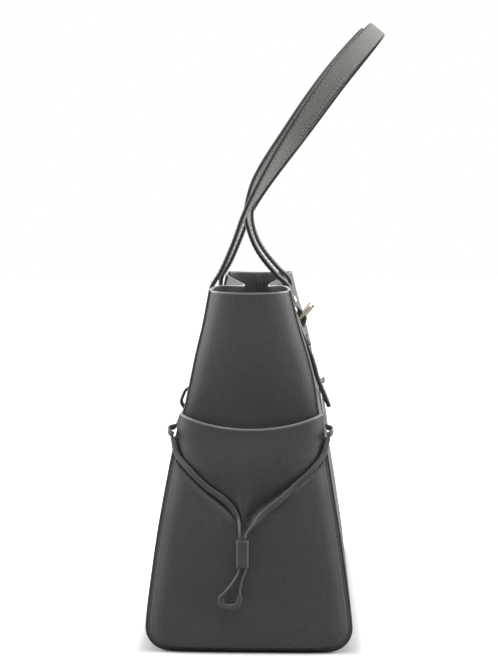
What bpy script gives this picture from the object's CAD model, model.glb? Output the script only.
"""The leather tote bag's looks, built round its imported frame, in metres, +Z up."""
import math

import bmesh
import bpy
import numpy as np
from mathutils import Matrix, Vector


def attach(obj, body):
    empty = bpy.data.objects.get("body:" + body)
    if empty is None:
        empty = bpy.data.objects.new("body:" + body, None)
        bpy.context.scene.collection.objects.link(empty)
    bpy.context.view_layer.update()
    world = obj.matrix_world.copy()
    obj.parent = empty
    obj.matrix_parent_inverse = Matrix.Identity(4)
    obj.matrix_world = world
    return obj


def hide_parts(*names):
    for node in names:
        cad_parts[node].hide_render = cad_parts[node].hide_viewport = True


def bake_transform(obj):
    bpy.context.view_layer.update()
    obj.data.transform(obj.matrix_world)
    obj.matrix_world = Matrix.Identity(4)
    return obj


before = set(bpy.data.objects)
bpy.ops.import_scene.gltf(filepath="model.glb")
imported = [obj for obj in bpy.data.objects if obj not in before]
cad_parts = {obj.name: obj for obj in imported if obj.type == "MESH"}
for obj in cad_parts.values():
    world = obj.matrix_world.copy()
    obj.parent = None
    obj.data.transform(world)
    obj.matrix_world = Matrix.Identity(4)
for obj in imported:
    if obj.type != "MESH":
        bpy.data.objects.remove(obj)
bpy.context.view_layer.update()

# Camera
# The bag was photographed from its left end with a long lens, from a little above the mouth.
# The vanishing point of the bag's long edges gives the direction, and the base's depth the
# distance.
CAMERA_PLACE = (-1.395, -0.038, 0.3795)
LENS = 79.3
SENSOR = 36.0
CAMERA_PITCH = math.radians(5.130)
CAMERA_YAW = math.radians(1.79)

camera_data = bpy.data.cameras.new("Camera")
camera_data.lens = LENS
camera_data.sensor_width = SENSOR
camera_data.clip_end = 50
camera = bpy.data.objects.new("Camera", camera_data)
bpy.context.scene.collection.objects.link(camera)
camera.location = CAMERA_PLACE
look = Vector((math.cos(CAMERA_PITCH) * math.cos(CAMERA_YAW),
               math.cos(CAMERA_PITCH) * math.sin(CAMERA_YAW), -math.sin(CAMERA_PITCH)))
camera.rotation_euler = look.to_track_quat("-Z", "Y").to_euler()
bpy.context.scene.camera = camera
bpy.context.scene.view_settings.view_transform = "Standard"

# The wrap: front, base and back
# One hide of smooth grey cowhide, 2.2 mm thick, that runs down the front, under the base and up the
# back. Its two ends are rolled inward and sewn to the end walls, and its cut edges are painted.
LEATHER = 0.0022
SEAM_GAP = 0.0004
BODY_LENGTH = 0.370
TOP_LENGTH = 0.344
BODY_HEIGHT = 0.305
BASE_DEPTH = 0.178
BASE_RADIUS = 0.020
EDGE_ROLL = 0.0009
EDGE_LIP = 0.0004
HIDE_EDGE = 0.0009
SHARP_ANGLE = math.radians(50)
BELLY = 0.002
BELLY_TOP = 0.215
# Half depth of the body against its height, and how far its middle leans to the front
DEPTH_SHARES = (
    (0.0, 1.0), (0.10, 0.978), (0.22, 0.926), (0.33, 0.872), (0.44, 0.808), (0.55, 0.742),
    (0.61, 0.701), (0.66, 0.651), (0.75, 0.592), (0.83, 0.529), (0.90, 0.464), (1.0, 0.388),
)
LEAN_SHARES = ((0.0, 0.0), (0.44, 0.0), (0.64, 0.015), (0.75, 0.028), (0.83, 0.022), (1.0, 0.004))
PINCH_WIDTH = 0.063
FRONT_PINCH_WIDTH = 0.076
PINCH_START = 0.172
FRONT_PINCH = 0.0236
BACK_PINCH = 0.0258
MOUTH_DIP = 0.0048
BELT_CROSSING = 0.2865
SLOT_HALF_WIDTH = 0.0092
SLOT_HALF_HEIGHT = 0.0041
RIPPLE = 0.00035
ALONG_X = np.array([1.0, 0.0, 0.0])
FRONT, BACK = -1, 1
LEFT, RIGHT = -1, 1
SIDE_NAMES = {LEFT: "left", RIGHT: "right"}
FACE_NAMES = {FRONT: "front", BACK: "back"}
BODY_COLOUR = (0.150, 0.145, 0.143)
EDGE_PAINT_COLOUR = (0.430, 0.420, 0.405)
FACING_COLOUR = (0.088, 0.085, 0.083)
THREAD_COLOUR = (0.148, 0.144, 0.140)


def smooth(table, share):
    """Read a table of (share, value) pairs with a cubic curve that passes through each pair."""
    at = np.array([pair[0] for pair in table])
    value = np.array([pair[1] for pair in table])
    step = np.diff(value) / np.diff(at)
    slope = np.concatenate([step[:1], (step[:-1] + step[1:]) / 2, step[-1:]])
    share = np.clip(np.asarray(share, float), at[0], at[-1])
    i = np.clip(np.searchsorted(at, share, side="right") - 1, 0, len(at) - 2)
    gap = at[i + 1] - at[i]
    t = (share - at[i]) / gap
    return (
        value[i] * (1 + 2 * t) * (1 - t) ** 2
        + value[i + 1] * t**2 * (3 - 2 * t)
        + gap * slope[i] * t * (1 - t) ** 2
        - gap * slope[i + 1] * t**2 * (1 - t)
    )


def unit(vectors):
    """Vectors of length one."""
    return vectors / np.linalg.norm(vectors, axis=-1, keepdims=True)


def length_along(points):
    """The way travelled along a path up to each of its points."""
    return np.concatenate([[0.0], np.cumsum(np.linalg.norm(np.diff(points, axis=0), axis=1))])


def ease(share):
    """A step from 0 to 1 that starts and ends level: 3 t squared less 2 t cubed."""
    share = np.clip(share, 0, 1)
    return share * share * (3 - 2 * share)


def half_depth(z):
    """Half the body's depth at a height."""
    return BASE_DEPTH / 2 * smooth(DEPTH_SHARES, z / BODY_HEIGHT)


def middle_y(z):
    """The middle of the body's depth, which leans a little to the front."""
    return -BASE_DEPTH / 2 * smooth(LEAN_SHARES, z / BODY_HEIGHT)


def half_length(z):
    """Half the body's length at a height."""
    return (BODY_LENGTH + (TOP_LENGTH - BODY_LENGTH) * z / BODY_HEIGHT) / 2


def pinch(face, x, z):
    """How far the belt draws a face inward: a bell across it that grows as the height squared."""
    depth, width = (FRONT_PINCH, FRONT_PINCH_WIDTH) if face == FRONT else (BACK_PINCH, PINCH_WIDTH)
    rise = np.clip((z - PINCH_START) / (BODY_HEIGHT - PINCH_START), 0, 1)
    return depth * np.exp(-((x / width) ** 2)) * rise**2


def face_y(face, x, z):
    """A face: the body's half depth, a slight belly low down, less the belt's pinch."""
    z = np.asarray(z, float)
    belly = BELLY * np.cos(math.pi / 2 * np.clip(x / half_length(z), -1, 1))
    belly = belly * np.abs(np.sin(math.pi * np.clip(z / BELLY_TOP, 0, 1))) ** 1.3
    return middle_y(z) + face * (half_depth(z) + belly - pinch(face, x, z))


def top_height(x):
    """The mouth's edge, a little lower where the belt draws it in."""
    return BODY_HEIGHT - MOUTH_DIP * np.exp(-((x / PINCH_WIDTH) ** 2))


def face_normal(face, x, z):
    """The outward direction of a face, from its slopes."""
    step = LEATHER
    along = (face_y(face, x + step, z) - face_y(face, x - step, z)) / (2 * step)
    up = (face_y(face, x, z + step) - face_y(face, x, z - step)) / (2 * step)
    return unit(np.stack([-along, 1.0 + 0 * along, -up], axis=-1) * face)


def grid_quads(rows, columns, closed=False):
    """The quads of a grid of points; closed joins the last column to the first."""
    r = np.arange(rows - 1)[:, None] * columns
    c = np.arange(columns if closed else columns - 1)[None, :]
    n = (c + 1) % columns
    return np.stack([r + c, r + n, r + n + columns, r + c + columns], axis=2).reshape(-1, 4)


def add_piece(name, places, faces, materials, uv=None):
    """A smooth mesh from arrays of places and faces; uv holds a pair for each place, in metres."""
    mesh = bpy.data.meshes.new(name)
    mesh.from_pydata(places.reshape(-1, 3).tolist(), [], [list(map(int, f)) for f in faces])
    for material in materials:
        mesh.materials.append(material)
    if uv is not None:
        corners = np.zeros(len(mesh.loops), int)
        mesh.loops.foreach_get("vertex_index", corners)
        layer = mesh.uv_layers.new(name="Thread")
        layer.data.foreach_set("uv", uv.reshape(-1, 2)[corners].ravel())
    mesh.shade_smooth()
    made = bpy.data.objects.new(name, mesh)
    bpy.context.scene.collection.objects.link(made)
    return made


def thicken(made, thickness, painted_rim):
    """Give a surface its thickness, inward; painted_rim puts the next material on its cut edges."""
    wall = made.modifiers.new("Wall", "SOLIDIFY")
    wall.thickness = thickness
    wall.offset = -1
    wall.material_offset_rim = painted_rim
    return wall


def round_edges(made, width, segments):
    """Round the sharp edges of a piece."""
    rounded = made.modifiers.new("Rounded edge", "BEVEL")
    rounded.width = width
    rounded.segments = segments
    rounded.limit_method = "ANGLE"
    rounded.angle_limit = SHARP_ANGLE
    return rounded


def hide(name, grid, outward, materials, thickness=LEATHER, keep=None, uv=None,
         edge=HIDE_EDGE, painted_rows=0):
    """A wall of hide whose outer surface is the grid, with rounded, painted cut edges.
    The materials are the outer surface's, the paint and, where there is a third, the inner
    surface's. outward is a direction that the outer surface looks along; keep says which quads
    stay; the paint also covers the last painted_rows of the outer surface."""
    rows, columns = grid.shape[:2]
    diagonals = np.cross(grid[1:, 1:] - grid[:-1, :-1], grid[1:, :-1] - grid[:-1, 1:])
    quads = grid_quads(rows, columns)
    if (diagonals @ np.array(outward, float)).sum() < 0:
        quads = quads[:, ::-1]
    if keep is not None:
        quads = quads[keep.ravel()]
    made = add_piece(name, grid, quads, materials, uv)
    if painted_rows:
        kinds = np.zeros(len(quads), np.int32)
        kinds[-painted_rows * (columns - 1):] = 1
        made.data.polygons.foreach_set("material_index", kinds)
    loose = bmesh.new()
    loose.from_mesh(made.data)
    bmesh.ops.delete(loose, geom=[v for v in loose.verts if not v.link_faces], context="VERTS")
    loose.to_mesh(made.data)
    loose.free()
    wall = thicken(made, thickness, int(len(materials) > 1))
    wall.use_even_offset = True
    wall.material_offset = 2 if len(materials) > 2 else 0
    round_edges(made, edge, 3).material = 1 if len(materials) > 1 else -1
    return made


def ripple(x, z, seed):
    """The slight unevenness of hide: a sum of three slow waves, at most RIPPLE high."""
    return RIPPLE / 3 * (
        np.sin(31 * x + 47 * z + seed) + np.sin(58 * x - 36 * z + 2.1 * seed)
        + np.sin(83 * z + 22 * x + 3.3 * seed)
    )


def fill(made, inputs):
    """Give a node's inputs their values, or link other nodes' sockets to them."""
    for name, value in inputs.items():
        if isinstance(value, bpy.types.NodeSocket):
            made.id_data.links.new(value, made.inputs[name])
        else:
            made.inputs[name].default_value = value


def node(tree, kind, inputs=None, **settings):
    """Add a shader node with its settings, and fill its inputs."""
    made = tree.nodes.new("ShaderNode" + kind)
    for name, value in settings.items():
        setattr(made, name, value)
    fill(made, inputs or {})
    return made


def maths(tree, operation, *values):
    """The result of a sum or comparison of values and sockets."""
    return node(tree, "Math", dict(enumerate(values)), operation=operation).outputs[0]


def new_group(name, inputs, outputs):
    """A node group with its inputs' first values and its outputs, and its two end nodes."""
    tree = bpy.data.node_groups.new(name, "ShaderNodeTree")
    for label, kind, value in inputs:
        made = tree.interface.new_socket(label, in_out="INPUT", socket_type="NodeSocket" + kind)
        made.default_value = value
    for label, kind in outputs:
        tree.interface.new_socket(label, in_out="OUTPUT", socket_type="NodeSocket" + kind)
    return tree, tree.nodes.new("NodeGroupInput").outputs, tree.nodes.new("NodeGroupOutput")


def new_material(name):
    """A material with its tree and its Principled shader."""
    made = bpy.data.materials.new(name)
    made.use_nodes = True
    return made, made.node_tree, made.node_tree.nodes["Principled BSDF"]


def grain_group():
    """Leather grain: small rounded pebbles parted by creases, with finer pores on them."""
    tree, given, result = new_group(
        "Leather grain", [("Pebble size", "Float", 0.001), ("Pores", "Float", 0.3)],
        [("Height", "Float"), ("Crease", "Float")])
    place = node(tree, "TexCoord").outputs["Object"]
    warp = node(tree, "TexNoise", {"Vector": place, "Scale": 160, "Detail": 2}).outputs["Color"]
    push = node(tree, "VectorMath", {0: warp, 1: (0.0012, 0.0012, 0.0012), 2: place},
                operation="MULTIPLY_ADD").outputs["Vector"]
    cells = node(tree, "TexVoronoi", feature="DISTANCE_TO_EDGE")
    fill(cells, {"Vector": push, "Scale": maths(tree, "DIVIDE", 1.0, given["Pebble size"])})
    crown = node(tree, "MapRange", {"Value": cells.outputs["Distance"], "From Max": 0.30},
                 interpolation_type="SMOOTHSTEP").outputs["Result"]
    pores = node(tree, "TexNoise", {"Vector": place, "Scale": 3200, "Detail": 3}).outputs["Fac"]
    fill(result, {"Height": maths(tree, "MULTIPLY_ADD", pores, given["Pores"], crown),
                  "Crease": maths(tree, "SUBTRACT", 1.0, crown)})
    return tree


def tone_group():
    """Uneven dye: the colour drifts over a few centimetres and is deeper in the creases."""
    tree, given, result = new_group(
        "Uneven dye", [("Colour", "Color", (0.1, 0.1, 0.1, 1)), ("Crease", "Float", 0.0),
                       ("Drift", "Float", 0.16), ("Depth", "Float", 0.25)],
        [("Colour", "Color"), ("Cloud", "Float")])
    place = node(tree, "TexCoord").outputs["Object"]
    cloud = node(tree, "TexNoise", {"Vector": place, "Scale": 28, "Detail": 5, "Roughness": 0.6})
    cloud = cloud.outputs["Fac"]
    drift = maths(tree, "MULTIPLY_ADD", maths(tree, "SUBTRACT", cloud, 0.5), given["Drift"], 1.0)
    level = maths(tree, "SUBTRACT", drift, maths(tree, "MULTIPLY", given["Crease"], given["Depth"]))
    tint = node(tree, "VectorMath", {0: given["Colour"], "Scale": level}, operation="SCALE")
    fill(result, {"Colour": tint.outputs["Vector"], "Cloud": cloud})
    return tree


GRAIN = grain_group()
DYE = tone_group()


def leather(name, colour, pebble, bump, roughness=(0.48, 0.64), drift=0.16, specular=0.2):
    """A dyed leather: pebble is the grain's size and bump its height, both in metres."""
    made, tree, shader = new_material(name)
    grain = node(tree, "Group", node_tree=GRAIN)
    fill(grain, {"Pebble size": pebble})
    dye = node(tree, "Group", node_tree=DYE)
    fill(dye, {"Colour": (*colour, 1), "Drift": drift, "Crease": grain.outputs["Crease"]})
    gloss = node(tree, "MapRange", {"Value": dye.outputs["Cloud"], "To Min": roughness[0],
                                    "To Max": roughness[1]})
    relief = node(tree, "Bump", {"Strength": 0.6, "Distance": bump,
                                 "Height": grain.outputs["Height"]})
    fill(shader, {"Base Color": dye.outputs["Colour"], "Roughness": gloss.outputs["Result"],
                  "Normal": relief.outputs["Normal"], "Specular IOR Level": specular})
    return made


body_leather = leather("Grey body leather", BODY_COLOUR, 0.0011, 0.00014, specular=0.14)
edge_paint = leather("Painted edge", EDGE_PAINT_COLOUR, 0.0006, 0.00003, (0.35, 0.5), drift=0.3)
facing_leather = leather("Dark facing leather", FACING_COLOUR, 0.0009, 0.00010, (0.8, 0.95),
                         specular=0.04)
thread = leather("Waxed thread", THREAD_COLOUR, 0.0004, 0.00008, (0.5, 0.65))


# The wrap's grid has a narrow gap of quads in the middle of the front, where the belt's slot is.
SIDE_COLUMNS = 66
LOW_ROWS = 62
CORNER_ROWS = 10
ROW_POWER = 1.4
slot_share = SLOT_HALF_WIDTH / (half_length(BELT_CROSSING) - EDGE_ROLL)
side_shares = np.linspace(slot_share, 1, SIDE_COLUMNS)
wrap_flat = np.concatenate([-side_shares[::-1], [-slot_share / 3, slot_share / 3], side_shares])
# Each column has a share along the face, and at the rolled ends an angle and an inward reach
turn = np.radians([90, 90, 75, 60, 45, 30, 15])
shares = np.concatenate([-np.ones(len(turn)), wrap_flat, np.ones(len(turn))])
angles = np.concatenate([turn, np.zeros(len(wrap_flat)), turn[::-1]])
inward = EDGE_ROLL * (1 - np.cos(angles))
inward[[0, -1]] += EDGE_LIP
slot_rises = [(BELT_CROSSING + way * SLOT_HALF_HEIGHT - BASE_RADIUS) / (top_height(0) - BASE_RADIUS)
              for way in (-1, 1)]
rises = np.concatenate([
    1 - (1 - np.linspace(0, 1 - (1 - slot_rises[0]) ** (1 / ROW_POWER), LOW_ROWS)) ** ROW_POWER,
    [sum(slot_rises) / 2], np.linspace(slot_rises[1], 1, 5),
])


def wrap_face(face):
    """A face of the wrap, from its base corner to the mouth."""
    top = top_height(shares * TOP_LENGTH / 2)[None, :]
    z = BASE_RADIUS + rises[:, None] * (top - BASE_RADIUS)
    straight = half_length(z) - EDGE_ROLL
    x = shares * (straight + EDGE_ROLL * np.sin(angles))
    inner = 1 - shares**8
    uneven = ripple(x, z, 1.7 + face) * inner * np.sin(math.pi * np.clip(rises[:, None], 0, 1))
    y = face_y(face, shares * straight, z) - face * inward + face * uneven
    return np.stack([x, y, z], axis=2)


def wrap_corner(face):
    """The turn from a face to the base, from the flat base up to the face."""
    bend = np.radians(np.linspace(0, 90, CORNER_ROWS + 1))[:-1, None]
    corner = BASE_RADIUS * (1 - np.cos(bend))
    straight = half_length(corner) - EDGE_ROLL
    x = shares * (straight + EDGE_ROLL * np.sin(angles))
    wall = face_y(face, shares * straight, BASE_RADIUS)
    y = wall - face * (BASE_RADIUS * (1 - np.sin(bend)) + inward * np.sin(bend))
    return np.stack([x, y, corner + inward * np.cos(bend)], axis=2)


front_half = np.concatenate([wrap_corner(FRONT), wrap_face(FRONT)])
back_half = np.concatenate([wrap_corner(BACK), wrap_face(BACK)])
under = np.linspace(0, 1, 26)[1:-1, None, None]
across_base = front_half[:1] * (1 - under) + back_half[:1] * under
wrap_grid = np.concatenate([front_half[::-1], across_base, back_half])
wrap_keep = np.ones((wrap_grid.shape[0] - 1, wrap_grid.shape[1] - 1), bool)
slot_row = len(front_half) - CORNER_ROWS - LOW_ROWS
slot_column = len(turn) + SIDE_COLUMNS - 1
wrap_keep[slot_row - 2:slot_row, slot_column:slot_column + 3] = False
wrap = hide("wrap", wrap_grid, (0, 0, -1), [body_leather, edge_paint, facing_leather],
            keep=wrap_keep)
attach(wrap, "bag")
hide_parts("front_panel", "back_panel", "base_panel")

# Stitches
# Waxed thread in a saddle stitch. Each stitch is a short raised bead whose ends dip into the
# leather.
STITCH_PITCH = 0.0042
STITCH_LENGTH = 0.0031
STITCH_RADIUS = 0.00028


def stitch_places(points, normals, inset=0.002):
    """Even places along a dense path, with the way along it and the outward direction."""
    run = length_along(points)
    count = max(2, int((run[-1] - 2 * inset) / STITCH_PITCH))
    at = np.linspace(inset, run[-1] - inset, count)
    read = lambda values: np.stack([np.interp(at, run, axis) for axis in values.T], axis=1)
    centre, out = read(points), unit(read(normals))
    way = unit(read(np.gradient(points, run, axis=0)))
    return centre, way, unit(out - way * (out * way).sum(1, keepdims=True))


def stitches(name, rows, material=None, radius=STITCH_RADIUS):
    """Beads of thread: rings of six points whose radius and height fall off toward both ends.
    rows is a list of (points, normals) pairs."""
    parts = [stitch_places(points, normals) for points, normals in rows]
    centre, way, out = (np.concatenate(part) for part in zip(*parts))
    along = np.array([-1.0, -0.86, -0.45, 0.45, 0.86, 1.0])
    size = np.array([0.25, 0.72, 1.0, 1.0, 0.72, 0.25]) * radius
    rise = np.array([-0.9, -0.3, 0.35, 0.35, -0.3, -0.9]) * radius
    turn = np.radians(np.arange(0, 360, 60))
    side = np.cross(way, out)
    ring = (np.cos(turn)[:, None] * side[:, None, None, :]
            + np.sin(turn)[:, None] * out[:, None, None, :]) * size[:, None, None]
    spine = centre[:, None, :] + along[:, None] * way[:, None, :] * STITCH_LENGTH / 2
    spine = spine + rise[:, None] * out[:, None, :]
    places = spine[:, :, None, :] + ring
    tube = grid_quads(6, 6, closed=True)
    ends = np.array([[5, 4, 3, 2, 1, 0], [30, 31, 32, 33, 34, 35]])
    count = len(centre)
    start = (np.arange(count) * 36)[:, None, None]
    faces = [*(tube + start).reshape(-1, 4), *(ends + start).reshape(-1, 6)]
    made = add_piece(name, places, faces, [material or thread])
    return face_outwards(made)


def face_outwards(made):
    """Turn a closed mesh's faces outwards."""
    loose = bmesh.new()
    loose.from_mesh(made.data)
    bmesh.ops.recalc_face_normals(loose, faces=loose.faces[:])
    loose.to_mesh(made.data)
    loose.free()
    return made


# The end walls
# A panel of the same hide closes each end. It swells outward a little. Its edges are turned in and
# meet the rolled ends of the wrap in a blind seam, so no thread shows there.
END_BULGE_LOW = 0.003
END_BULGE_HIGH = 0.010
END_SHOULDER = 0.0022
END_SHOULDER_WIDTH = 0.011
END_DIP = 0.0015
GUSSET_FOLD = 0.0003
GUSSET_EDGE = 0.00105
UNDER_POCKET_SHOULDER = 0.0004
SHOULDER_START = 0.196
SHOULDER_RISE = 0.022
PAINT_BAND = 0.0014
CINCH = 0.0060
CINCH_HEIGHT = 0.192
CINCH_SPREAD = 0.032
END_FOLD_LIP = 0.0006


def end_reach(across, z, lift=0.0, gape=0.0, shoulder=END_SHOULDER, hollow=0.0):
    """How far an end stands from the middle of the bag: a low arch across it, 1 less the cube of
    the way across, with a quicker rise beside each edge, less a bell where the lace draws it in."""
    beside = np.clip((1 - np.abs(across)) * half_depth(z) / END_SHOULDER_WIDTH, 0, 1)
    bulge = END_BULGE_LOW + (END_BULGE_HIGH - END_BULGE_LOW) * np.clip(z / BODY_HEIGHT, 0, 1)
    arch = (bulge - shoulder + gape) * (1 - np.abs(across) ** 3)
    drawn = CINCH * (1 - across**2) * np.exp(-(((z - CINCH_HEIGHT) / CINCH_SPREAD) ** 2))
    return half_length(z) + arch + shoulder * (1 - (1 - beside) ** 2) - drawn - hollow + lift


LACE_V_TOP = 0.1788
LACE_V_LOW = 0.0976
LACE_V_MIDDLE = 0.005
LACE_V_SHARES = (
    (0.0, 0.04), (0.08, 0.20), (0.18, 0.29), (0.35, 0.395), (0.56, 0.52), (0.78, 0.675),
    (0.94, 0.83), (1.0, 1.0),
)
HOLLOW_DEPTH = 0.0056
HOLLOW_ABOVE = 0.0150
HOLLOW_BELOW = 0.0027


def lace_hollow(y, z):
    """How deep the waist lace sinks into an end. It is deepest along the lace's V, and eases out
    above the V over a longer way than below it, and toward the V's foot and its two tops."""
    aside = LACE_V_MIDDLE - middle_y(LACE_V_TOP)
    spread = half_depth(LACE_V_TOP) - np.sign(y - LACE_V_MIDDLE) * aside
    line = smooth(LACE_V_SHARES, np.abs(y - LACE_V_MIDDLE) / spread)
    above = z - LACE_V_LOW - (LACE_V_TOP - LACE_V_LOW) * line
    fall = np.exp(-np.where(above > 0, (np.abs(above) / HOLLOW_ABOVE) ** 1.3,
                            (above / HOLLOW_BELOW) ** 2))
    share = ease(line / 0.2) * ease((1.08 - line) / 0.35)
    return HOLLOW_DEPTH * share * fall


def gusset_shoulder(z):
    """The end wall is flatter under its pocket."""
    rise = ease((z - SHOULDER_START) / SHOULDER_RISE)
    return UNDER_POCKET_SHOULDER + (END_SHOULDER - UNDER_POCKET_SHOULDER) * rise


def end_rows(set_in, top, across, count):
    """Heights and half widths of an end piece whose lower corners follow the base."""
    radius = BASE_RADIUS - set_in
    turn = np.radians(np.linspace(0, 90, 13))[:, None]
    low_z = BASE_RADIUS - radius * np.cos(turn) + 0 * across
    low_width = half_depth(BASE_RADIUS) - BASE_RADIUS + radius * np.sin(turn) + 0 * across
    rise = np.linspace(0, 1, count)[1:-1, None]
    rise = np.concatenate([rise, [[1 - PAINT_BAND / (np.max(top) - BASE_RADIUS)], [1.0]]])
    z = BASE_RADIUS + rise * (top - BASE_RADIUS)
    return np.concatenate([low_z, z]), np.concatenate([low_width, half_depth(z) - set_in])


def fold_sides(grid, side, fold):
    """Turn the two side edges of an end piece inward in a small fold that hides the cut edge."""
    columns = []
    for edge, way in ((grid[:, :1], -1), (grid[:, -1:], 1)):
        folds = []
        for a in np.radians((35, 65, 90)):
            folds.append(edge + fold * np.array([-side * (1 - math.cos(a)), way * math.sin(a), 0]))
        folds.append(folds[-1] - np.array([side * END_FOLD_LIP, 0, 0]))
        columns.append(np.concatenate(folds[::way], axis=1))
    return np.concatenate([columns[0], grid, columns[1]], axis=1)


gusset_set_in = EDGE_ROLL + EDGE_LIP + SEAM_GAP
gusset_across = np.linspace(-1, 1, 49)
for side in (LEFT, RIGHT):
    gusset_top = BODY_HEIGHT - END_DIP * (1 - gusset_across**2)
    z, width = end_rows(gusset_set_in, gusset_top, gusset_across, 80)
    soft = (1 - gusset_across**4) * ripple(gusset_across * width, z, 4.0 + side)
    y = middle_y(z) + gusset_across * (width - GUSSET_FOLD)
    hollow = lace_hollow(y, z)
    x = side * (end_reach(gusset_across, z, shoulder=gusset_shoulder(z), hollow=hollow) + soft)
    grid = np.stack([x, y, z], axis=2)
    grid = fold_sides(grid, side, GUSSET_FOLD)
    wall = hide(f"gusset_{SIDE_NAMES[side]}_panel", grid, (side, 0, 0),
                [body_leather, edge_paint], edge=GUSSET_EDGE, painted_rows=1)
    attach(wall, "bag")
    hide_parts(f"gusset_{SIDE_NAMES[side]}")

# The end pockets
# A slip pocket of the same hide lies over the lower part of each end. Its painted top edge dips in
# the middle, and its corners flare a little past the wrap, where the lace draws round them.
POCKET_TOP = 0.202
POCKET_DIP = 0.012
POCKET_FOLD = 0.0007
POCKET_SET_IN = 0.0045
POCKET_FLARE = 0.0068
POCKET_FLARE_START = 0.164
POCKET_GAPE = 0.0075
POCKET_GAPE_START = 0.118
pocket_lift = SEAM_GAP + LEATHER


def pocket_gape(z):
    """How far the slip pocket stands open."""
    return POCKET_GAPE * ease((z - POCKET_GAPE_START) / (POCKET_TOP - POCKET_GAPE_START))


def pocket_at(side, y, z):
    """A place on the end pocket's outer surface, from its y and z."""
    across = (y - middle_y(z)) / (half_depth(z) - POCKET_SET_IN)
    x = end_reach(across, z, pocket_lift, pocket_gape(z))
    return np.stack([side * x + 0 * y, y + 0 * z, z + 0 * y], axis=-1)


for side in (LEFT, RIGHT):
    pocket_top = POCKET_TOP - POCKET_DIP * (1 - gusset_across**2)
    z, width = end_rows(POCKET_SET_IN, pocket_top, gusset_across, 70)
    flare = ease((z - POCKET_FLARE_START) / (POCKET_TOP - POCKET_FLARE_START))
    soft = (1 - gusset_across**4) * ripple(gusset_across * width, z, 9.0 + side) * ease(z / 0.03)
    y = middle_y(z) + gusset_across * (width - POCKET_FOLD + POCKET_FLARE * flare)
    x = side * (end_reach(gusset_across, z, pocket_lift, pocket_gape(z),
                          hollow=lace_hollow(y, z)) + soft)
    grid = fold_sides(np.stack([x, y, z], axis=2), side, POCKET_FOLD)
    pocket = hide(f"pocket_{SIDE_NAMES[side]}_panel", grid, (side, 0, 0),
                  [body_leather, edge_paint], painted_rows=1)
    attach(pocket, "bag")
    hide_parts(f"pocket_{SIDE_NAMES[side]}")

# The inside
# A sewn lining of plain cloth hangs inside from a leather facing, with a slip pocket on its back.
LINING = 0.0010
LINING_DROP = 0.042
LINING_GAP = 0.0009
LINING_CORNER = 0.006
LINING_BASE_RADIUS = 0.015
LINING_SLACK = 0.0006
BOARD_THICKNESS = 0.0018
POCKET_WIDTH = 0.180
INNER_POCKET_LOW = 0.110
INNER_POCKET_HIGH = 0.225
CLOTH_COLOUR = (0.045, 0.042, 0.042)


def cloth_material(name, colour, thread_size):
    """A twill: two sets of threads on the piece's own UV map, in metres, one over the other."""
    made, tree, shader = new_material(name)
    place = node(tree, "UVMap", uv_map="Thread").outputs["UV"]
    waves = []
    for turn in (0.0, 90.0):
        turned = node(tree, "Mapping", {"Vector": place, "Rotation": (0, 0, math.radians(turn))})
        wave = node(tree, "TexWave", {"Scale": 1 / (thread_size * 20), "Distortion": 0.6,
                                      "Detail": 1, "Vector": turned.outputs["Vector"]})
        waves.append(wave.outputs["Fac"])
    over = maths(tree, "MAXIMUM", *waves)
    shade = node(tree, "MixRGB", {"Fac": over, "Color1": (*[c * 0.55 for c in colour], 1),
                                  "Color2": (*[c * 1.25 for c in colour], 1)})
    relief = node(tree, "Bump", {"Height": over, "Distance": 0.00015, "Strength": 0.7})
    fill(shader, {"Base Color": shade.outputs["Color"], "Normal": relief.outputs["Normal"],
                  "Roughness": 0.88, "Sheen Weight": 0.15})
    return made


lining_cloth = cloth_material("Lining twill", CLOTH_COLOUR, 0.0007)
inset = LEATHER + LINING_GAP
lining_floor = LEATHER + 2 * SEAM_GAP + BOARD_THICKNESS
turn = np.radians(np.linspace(10, 90, 9))
lining_heights = np.concatenate([
    lining_floor + LINING_BASE_RADIUS * (1 - np.cos(turn)),
    np.linspace(lining_floor + LINING_BASE_RADIUS, BODY_HEIGHT - LINING_DROP, 48)[1:],
])[:, None]
draws = np.concatenate([LINING_BASE_RADIUS * (1 - np.sin(turn)), np.zeros(47)])[:, None]
lining_along, lining_across = np.linspace(-1, 1, 61), np.linspace(-1, 1, 25)
reach = half_length(lining_heights) - inset - LINING_CORNER - draws
slack = LINING_SLACK * (np.sin(46 * lining_along * 0.17 + 3) * np.sin(31 * lining_heights)) ** 2
front_y = face_y(FRONT, lining_along * reach, lining_heights) + inset + draws + slack
back_y = face_y(BACK, -lining_along * reach, lining_heights) - inset - draws - slack
width = half_depth(lining_heights) - inset - LINING_CORNER - draws
end_y = middle_y(lining_heights) + lining_across * width
end_hollow = lace_hollow(end_y, lining_heights)
end_x = end_reach(lining_across, lining_heights, hollow=end_hollow) - inset - draws
ring_x = np.concatenate([lining_along * reach, end_x, -lining_along * reach, -end_x], axis=1)
ring_y = np.concatenate([front_y, end_y, back_y, 2 * middle_y(lining_heights) - end_y], axis=1)
rings = np.stack([ring_x, ring_y, lining_heights + 0 * ring_x], axis=2)
centre = np.array([0.0, float(middle_y(lining_floor)), lining_floor])
floor_rings = centre + (rings[:1] - centre) * np.linspace(0.04, 1, 18)[:-1, None, None]
floor_rings[:, :, 2] = lining_floor
rings = np.concatenate([floor_rings, rings])
girth = np.linalg.norm(np.diff(rings[-1], axis=0, append=rings[-1][:1]), axis=1)
lining_u = np.concatenate([[0], np.cumsum(girth)[:-1]])
lining_v = np.cumsum(np.linalg.norm(np.diff(rings[:, 20], axis=0, prepend=rings[:1, 20]), axis=1))
lining_uv = np.stack(np.broadcast_arrays(lining_u[None, :], lining_v[:, None]), axis=2)
faces = [*grid_quads(len(rings), rings.shape[1], closed=True), list(range(rings.shape[1]))[::-1]]
lining = add_piece("lining_cloth", rings, faces, [lining_cloth], lining_uv)
thicken(lining, LINING, 0)
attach(lining, "bag")
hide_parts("lining")

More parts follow.
